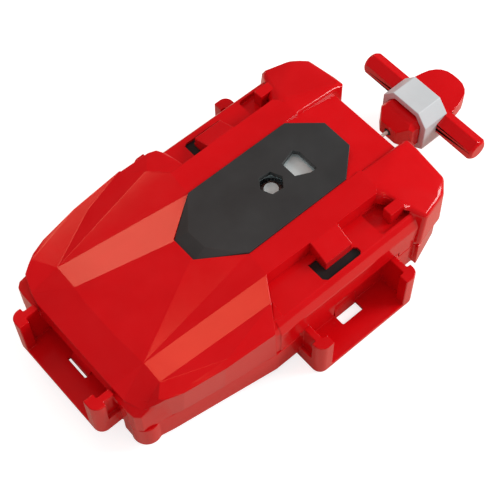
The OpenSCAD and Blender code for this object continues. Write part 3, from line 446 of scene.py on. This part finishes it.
def side_parts(sign):
    """Shoulder, ledge, hip, bridge over the slot, and front ear of one side."""
    shoulder = [
        (13.5, 12.3, DECK_Z), (19.9, 18.8, DECK_Z), (20.6, 12.3, DECK_Z), (24, 22.6, 28.1),
        (25.4, 32.6, 25.4), (34.4, 30.2, 25.3), (38.2, 26.6, 25.2), (38.2, 12.3, 28.4),
    ]
    shoulder += at_heights([(13.5, 12.3), (19.9, 20.2), (24, 33), (34.4, 30.6), (38.2, 27.2), (38.2, 12.3)], PART_Z)
    ledge = [(18, 25), (29.3, 25), (30.4, 23.4), (31.5, 20.6), (31.5, PART_Z), (18, PART_Z)]
    hip = [
        (-28.5, 30.8, PART_Z), (-28.5, 30.4, 22.2), (-22, 31.5, PART_Z), (-22, 31.5, 20.6), (-22, 30.2, 23.5),
        (-22, 29, 25.3), (-21, 24, 25.3), (-24.7, 28.8, 25.3), (-26.5, 30.3, 23), (-28.5, 28, PART_Z),
    ]
    bridge = [(19, 23), (26.1, 23), (26.1, 27.4), (20.4, TOP_Z), (19, TOP_Z)]
    ear = at_heights([
        (-56, 14), (-56, 26.6), (-56.7, 26.7), (-64.8, 25.3), (-66.1, 24), (-66.4, 21.6), (-66.4, 14),
    ], PART_Z, 20.6)
    if sign < 0:
        ear += [(-60.6, 25.8, 23.4), (-63.2, 24.2, 21.9), (-64.9, 19, 22)]
    return [
        soften(hull("shoulder", at_side(sign, shoulder)), 1.1),
        soften(along_x("ledge", [(sign * y, z) for y, z in ledge], -24.6, 25.6), 0.45),
        soften(hull("hip", at_side(sign, hip)), 0.2),
        soften(along_x("bridge", [(sign * y, z) for y, z in bridge], -4.6, 4.6), 0.3),
        soften(hull("ear", at_side(sign, ear)), 1.2),
    ]


def far_wedge():
    """Taller end of the hood on the far side."""
    return soften(hull("wedge", [
        (-26.1, 31.3, PART_Z), (-26.1, 31.2, 26.8), (-21.8, 25.3, 29.1), (-17.6, 20.2, 29.9),
        (-13.2, 20, 29.9), (-13.4, 27.4, 27.2), (-14.6, 30.2, 26.8), (-16.9, 30.9, 27),
        (-13.4, 31.4, 20.6), (-13.2, 20, PART_Z), (-13.4, 31.4, PART_Z),
    ]), 0.2)


def pocket(sign):
    plan = [(13.2, 20.6), (13.2, 28), (13.8, 28.6), (24.2, 28.6), (22.8, 22.2), (20.4, 20.6)]
    return soften(upright("pocket", at_side(sign, plan), 23.4, 26), 0.3)


def tooth(sign):
    return soften(side_block("tooth", sign, (17.6, 22.6), (24, 27), (22.5, 28)), 0.25)


def rooms():
    """Hollow inside of the upper shell."""
    under_hood = [
        (-21, 18.4, 28), (-29.8, 3.9, 26.5), (-24, 23.2, 24.8), (-27.5, 29.5, 20.4), (-56.2, 24, 19.2),
        (-63.6, 16, 18.3), (-21, 18.4, ROOM_Z), (-27.5, 29.5, ROOM_Z), (-56.7, 24.8, ROOM_Z), (-63.6, 22.5, ROOM_Z),
    ]
    hood_room = hull("hood_room", [point for sign, _ in SIDES for point in at_side(sign, under_hood)])
    ledge_room = along_x("ledge_room", [
        (-29.7, ROOM_Z), (-29.7, 20), (-28, 21.4), (28, 21.4), (29.7, 20), (29.7, ROOM_Z),
    ], -25, 23.5)
    for sign, _ in SIDES:
        combine(ledge_room, [side_block("keep_dock", sign, (-19.8, 19.8), (27.2, 33), (10, 16))], "DIFFERENCE")
    top_room = block("top_room", (-20, -18.5, ROOM_Z), (17.5, 18.5, 28.1))
    deck_room = along_y("deck_room", [(10, ROOM_Z), (10, 28), (15.3, 28), (32.4, 25), (32.4, ROOM_Z)], 12.3)
    tail = both_sides([(36.3, 14.2), (36.3, 24.6), (33.8, 28), (24.5, 30.8), (15, 29)])
    tail_room = upright("tail_room", tail, ROOM_Z, 22.4)
    combine(tail_room, [block("keep_slot", (32.4, -14.1, 10), (40, 14.1, 25))], "DIFFERENCE")
    return [hood_room, ledge_room, top_room, deck_room, tail_room]


def cuts():
    """Seat and opening of the panel, places of the docks, and the L-shaped slots."""
    tools = [
        upright("seat", panel_plan(-0.1), 29, CUT_Z),
        upright("window", panel_plan(3.2), 24, CUT_Z),
        block("front_dock_place", (-70, -18, ROOM_Z), (-63.1, 18, 18.2)),
        block("front_wall_place", (-63.2, -17.83, ROOM_Z), (-61.27, 17.83, 18.2)),
    ]
    far_slot = [
        (-7.3, 22.6), (-4.7, 22.6), (-4.7, 26.2), (5, 26.2), (5.4, 27), (5, 27.6), (-6.4, 27.6), (-7.3, 27),
    ]
    near_slot = [
        (-7.4, 22.4), (-4.5, 22.4), (-4.5, 26.2), (5, 26.2), (5.8, 27), (5.8, 28.2), (5, 29), (-6.4, 29), (-7.4, 28),
    ]
    for sign, slot in ((1, far_slot), (-1, near_slot)):
        tools += [
            side_block("dock_place", sign, (-18, 18), (28.97, 34), (ROOM_Z, 14.2)),
            upright("slot", at_side(sign, slot), 20, 27),
            side_block("slot_room", sign, (-8.8, 7.2), (21.6, 29.2), (21, 24.2)),
        ]
    return tools


def top_shell():
    shell = soften(hood(), 0.5)
    deck = [(8, PART_Z), (8, DECK_Z), (15.5, DECK_Z), (34.3, 26.7), (34.3, PART_Z)]
    combine(shell, [soften(along_y("deck", deck, 13), 0.45)], "UNION")
    for sign, _ in SIDES:
        combine(shell, side_parts(sign), "UNION")
    combine(shell, [far_wedge()], "UNION")
    combine(shell, [pocket(sign) for sign, _ in SIDES], "DIFFERENCE")
    combine(shell, [tooth(sign) for sign, _ in SIDES], "UNION")
    combine(shell, [upright("plinth", panel_plan(0.4), 26.8, 29)], "UNION")
    combine(shell, rooms() + cuts(), "DIFFERENCE")
    bpy.ops.mesh.primitive_cylinder_add(
        vertices=40, radius=EYELET_BORE * MM, depth=6 * MM,
        location=(33.4 * MM, 0, STRING_Z * MM), rotation=(0, math.radians(90), 0),
    )
    combine(shell, [bpy.context.object], "DIFFERENCE")
    smooth_shade(shell, 38)
    dress(shell, RED, "case", "case_red", "top_cover")


def slot_plates():
    """Dark slides that lie under the L-shaped slots."""
    for sign, side in SIDES:
        plate = side_block("slot_plate_" + side, sign, (-8.4, 6.8), (22, 29), (22.9, 24.1))
        dress(soften(plate, 0.1), BLACK, "case", "black_plastic")


def front_panel():
    """Dark insert, with its front edge cut back in three facets."""
    piece = link("panel", clean_copy("top_panel"))
    low, over, front = 28, 30.6, 29.1
    outer = [(24.6, 5.5), (16, 12.8), (-17.5, 12.8)]
    corners = at_heights([(x, sign * y) for x, y in outer for sign in (1, -1)], low, over)
    corners += at_heights([(-25.5, 2.8), (-25.3, -3.4)], over)
    corners += [(-30.2, y, z) for z in (low, front) for y in (4.1, -4.1)]
    combine(piece, [hull("outline", corners)], "INTERSECT")
    round_edges(piece, 0.12, 5)
    dress(piece, DARK, "case", "panel_dark", "top_panel")


# Pieces along a line
def tube(name, points, radius, sides=12):
    """Round tube along a line of points."""
    points = [Vector(point) for point in points]
    mesh = bpy.data.meshes.new(name)
    bm = bmesh.new()
    rings = []
    across = None
    for i, point in enumerate(points):
        along = (points[min(i + 1, len(points) - 1)] - points[max(i - 1, 0)]).normalized()
        if across is None:
            across = along.orthogonal().normalized()
        across = (across - along * across.dot(along)).normalized()
        up = along.cross(across)
        rings.append([bm.verts.new((point + radius * (math.cos(a) * across + math.sin(a) * up)) * MM)
                      for a in (2 * math.pi * k / sides for k in range(sides))])
    for low, high in zip(rings, rings[1:]):
        for k in range(sides):
            bm.faces.new((low[k], low[(k + 1) % sides], high[(k + 1) % sides], high[k]))
    bm.faces.new(list(reversed(rings[0])))
    bm.faces.new(rings[-1])
    bmesh.ops.recalc_face_normals(bm, faces=bm.faces)
    bm.to_mesh(mesh)
    bm.free()
    for polygon in mesh.polygons:
        polygon.use_smooth = len(polygon.vertices) == 4
    return link(name, mesh)


# String: the spool's axis is at x -SPOOL_X, and LEAVE is the angle at which the string leaves the winding
SPOOL_X = 40
WINDING_R = 13.67
WINDING_TOP = 13.87
PITCH = 1.42
TURNS = 4.66
STRING_R = 0.52
EYELET_X = 31.2
STRING_Z = 12
LEAVE = -math.acos(WINDING_R / (SPOOL_X + EYELET_X))
EYELET = Vector((EYELET_X, 0, STRING_Z))


def wound_string():
    steps = 170
    points = []
    for i in range(steps + 1):
        turn = TURNS * (1 - i / steps)
        a = LEAVE - 2 * math.pi * turn
        points.append((WINDING_R * math.cos(a) - SPOOL_X, WINDING_R * math.sin(a), WINDING_TOP - turn * PITCH))
    a = LEAVE - 2 * math.pi * TURNS
    start = Vector(points[0]) - Vector((-math.sin(a), math.cos(a), 0))
    end = Vector(points[-1]) + (EYELET - Vector(points[-1])).normalized()
    piece = tube("winding", [start] + points + [end], STRING_R)
    dress(piece, TWINE, "spool", "string", "string_winding")


def free_string():
    leave = Vector((WINDING_R * math.cos(LEAVE) - SPOOL_X, WINDING_R * math.sin(LEAVE), WINDING_TOP))
    start = leave + (EYELET - leave).normalized()
    points = [start.lerp(EYELET, k / 24) for k in range(24)]
    outside = (EYELET_X, 33.5, 36, 38.5, 40.8, 41.4, 42, 42.6, 43.2, 43.8, 44.4, 46, 48.2)
    points += [Vector((x, 0, STRING_Z)) for x in outside]
    piece = tube("pull_string", points, STRING_R)
    piece.data.materials.append(TWINE)
    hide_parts("string")
    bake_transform(piece)


def painted_string_hole_shade():
    """Thin black disc that paints the shade inside the hole that the string goes into in the handle's stem."""
    piece = tube("string_mouth_painted_shade", [(x, 0, STRING_Z) for x in (44.45, 44.55, 44.9)], 1.15, 24)
    dress(piece, BLACK, "handle", "black_plastic")


def coil_spring():
    low, high, radius, turns, steps = 3.1, 6.7, 3, 3.5, 98
    points = []
    for i in range(steps + 1):
        a = 2 * math.pi * turns * i / steps
        points.append((radius * math.cos(a), radius * math.sin(a), low + (high - low) * i / steps))
    piece = dress(tube("spring", points, 0.3, 10), SPRING, "hub", "steel", "plunger_spring")
    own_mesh(piece)


# Other small pieces
def rotor_lid():
    """Raised pale ring on the rotor, seen through the panel's windows."""
    profile = [(5.2, 25.6), (5.2, 27.6), (5.5, 27.9), (13.4, 27.9), (13.8, 27.5), (13.8, 25.6)]
    sides = 72
    count = len(profile)
    corners = []
    faces = []
    for k in range(sides):
        a = 2 * math.pi * k / sides
        corners += [(r * math.cos(a), r * math.sin(a), z) for r, z in profile]
        here, there = k * count, (k + 1) % sides * count
        faces += [(here + j, here + (j + 1) % count, there + (j + 1) % count, there + j) for j in range(count)]
    piece = solid("rotor_lid", corners, faces)
    smooth_shade(piece, 38)
    dress(piece, GREY, "hub", "pale_plastic")


def latch_backs():
    """Sloping backs of the latch holes in the near, far and front docks."""
    hole = (-3.05, 4.45)
    side = [(28.2, 9), (28.2, 0.3), (29.9, 0.3), (29.7, 1.5), (28.7, 9)]
    front = [(-61.9, 14.8), (-61.9, 8.7), (-65.9, 8.7), (-65.5, 9.8), (-62.6, 14.8)]
    backs = {
        "near": [(x, -y, z) for y, z in side for x in hole],
        "far": [(x, y, z) for y, z in side for x in hole],
        "front": [(x, y, z) for x, z in front for y in hole],
    }
    for name, points in backs.items():
        dress(soften(hull("latch_back_" + name, points), 0.1), RED, "case", "case_red")


add_camera()

top_shell()
slot_plates()
front_panel()
latch_backs()
# Black disc painting the shade inside the string's hole in the stem
painted_string_hole_shade()
rotor_lid()
wound_string()
free_string()
coil_spring()
rounded("bottom_cover", "lower_shell", RED, "case", "case_red", 0.3)
rounded("string_eyelet", "eyelet", PALE, "case", "pale_plastic", 0.2)
rounded("handle_bar", "grip", RED, "handle", "case_red", 0.25)
rounded("handle_stem", "stem", RED, "handle", "case_red", 0.25)
rounded("handle_collar", "collar", PALE, "handle", "pale_plastic", 0.25)
rounded("launch_hub", "hub", PALE, "hub", "pale_plastic", 0.2)

paint(BLACK, "gear_plate", "spool_cap")
paint(STEEL, "case_screws", "plate_screws", "spool_shaft", "spring_arbor", "idler_shaft",
      "hub_shaft", "rotor_clip", "plunger_clip", "handle_pin", "mainspring")
paint(BRASS, "hub_bush", "upper_bush", "string_bead", "hub_pinion")
paint(PALE, "spool_drum", "spool_gear", "idler_gear")
paint(GREY, "rotor_disc", "plunger")

# Floor and surroundings
FLOOR_HALF = 0.14
FLOOR_TINT = (0.7, 0.46, 0.38, 1)
FLOOR_GREY = (0.6, 0.6, 0.6, 1)
FLOOR_GLOW = 0.72
SOFT_LIGHT = 0.62
REFLECTED_LIGHT = 0.045


def add_floor():
    """Pale floor that the pieces see in a warmer tint."""
    mesh = bpy.data.meshes.new("floor")
    corners = [(x * FLOOR_HALF, y * FLOOR_HALF, 0) for x, y in ((-1, -1), (1, -1), (1, 1), (-1, 1))]
    mesh.from_pydata(corners, [], [(0, 1, 2, 3)])
    n = Nodes("floor_paper")
    n.shader.inputs["Base Color"].default_value = FLOOR_TINT
    n.shader.inputs["Roughness"].default_value = 0.9
    n.shader.inputs["Specular IOR Level"].default_value = 0.1
    glow = n.new("Emission")
    glow.inputs["Strength"].default_value = FLOOR_GLOW
    plain = n.new("BsdfDiffuse")
    plain.inputs["Color"].default_value = FLOOR_GREY
    both = n.new("AddShader")
    n.link(plain.outputs[0], both.inputs[0])
    n.link(glow.outputs[0], both.inputs[1])
    choose = n.new("MixShader")
    n.link(n.new("LightPath").outputs["Is Camera Ray"], choose.inputs["Fac"])
    n.link(n.shader.outputs[0], choose.inputs[1])
    n.link(both.outputs[0], choose.inputs[2])
    n.link(choose.outputs[0], n.out.inputs["Surface"])
    mesh.materials.append(n.material)
    link("floor", mesh)


def add_world():
    """White behind the pieces, soft light on them, and little of it in their reflections."""
    world = bpy.data.worlds.new("world")
    world.use_nodes = True
    tree = world.node_tree
    tree.nodes.clear()
    soft, dim, white = [tree.nodes.new("ShaderNodeBackground") for _ in range(3)]
    for node, strength in ((soft, SOFT_LIGHT), (dim, REFLECTED_LIGHT), (white, 1)):
        node.inputs["Color"].default_value = WHITE
        node.inputs["Strength"].default_value = strength
    path = tree.nodes.new("ShaderNodeLightPath")
    shown = soft
    for ray, other in (("Is Glossy Ray", dim), ("Is Camera Ray", white)):
        mix = tree.nodes.new("ShaderNodeMixShader")
        tree.links.new(path.outputs[ray], mix.inputs["Fac"])
        tree.links.new(shown.outputs[0], mix.inputs[1])
        tree.links.new(other.outputs[0], mix.inputs[2])
        shown = mix
    out = tree.nodes.new("ShaderNodeOutputWorld")
    tree.links.new(shown.outputs[0], out.inputs["Surface"])
    bpy.context.scene.world = world


add_floor()
add_world()
add_light("key", (0.6, -0.36, 0.385), (0, 0, 0), 0.35, 4.2)
# The hood's two strips mirror these lamps towards the camera
add_light("far_strip", (0.045, 0.657, 0.787), (-0.04, 0.012, 0.028), 0.2, 0.63, (1, 0.44, 0.28))
add_light("near_strip", (0.007, 0.058, 1.023), (-0.039, -0.021, 0.0275), 0.2, 0.63, (1, 0.3, 0.16))

bpy.context.scene.view_settings.view_transform = "Standard"
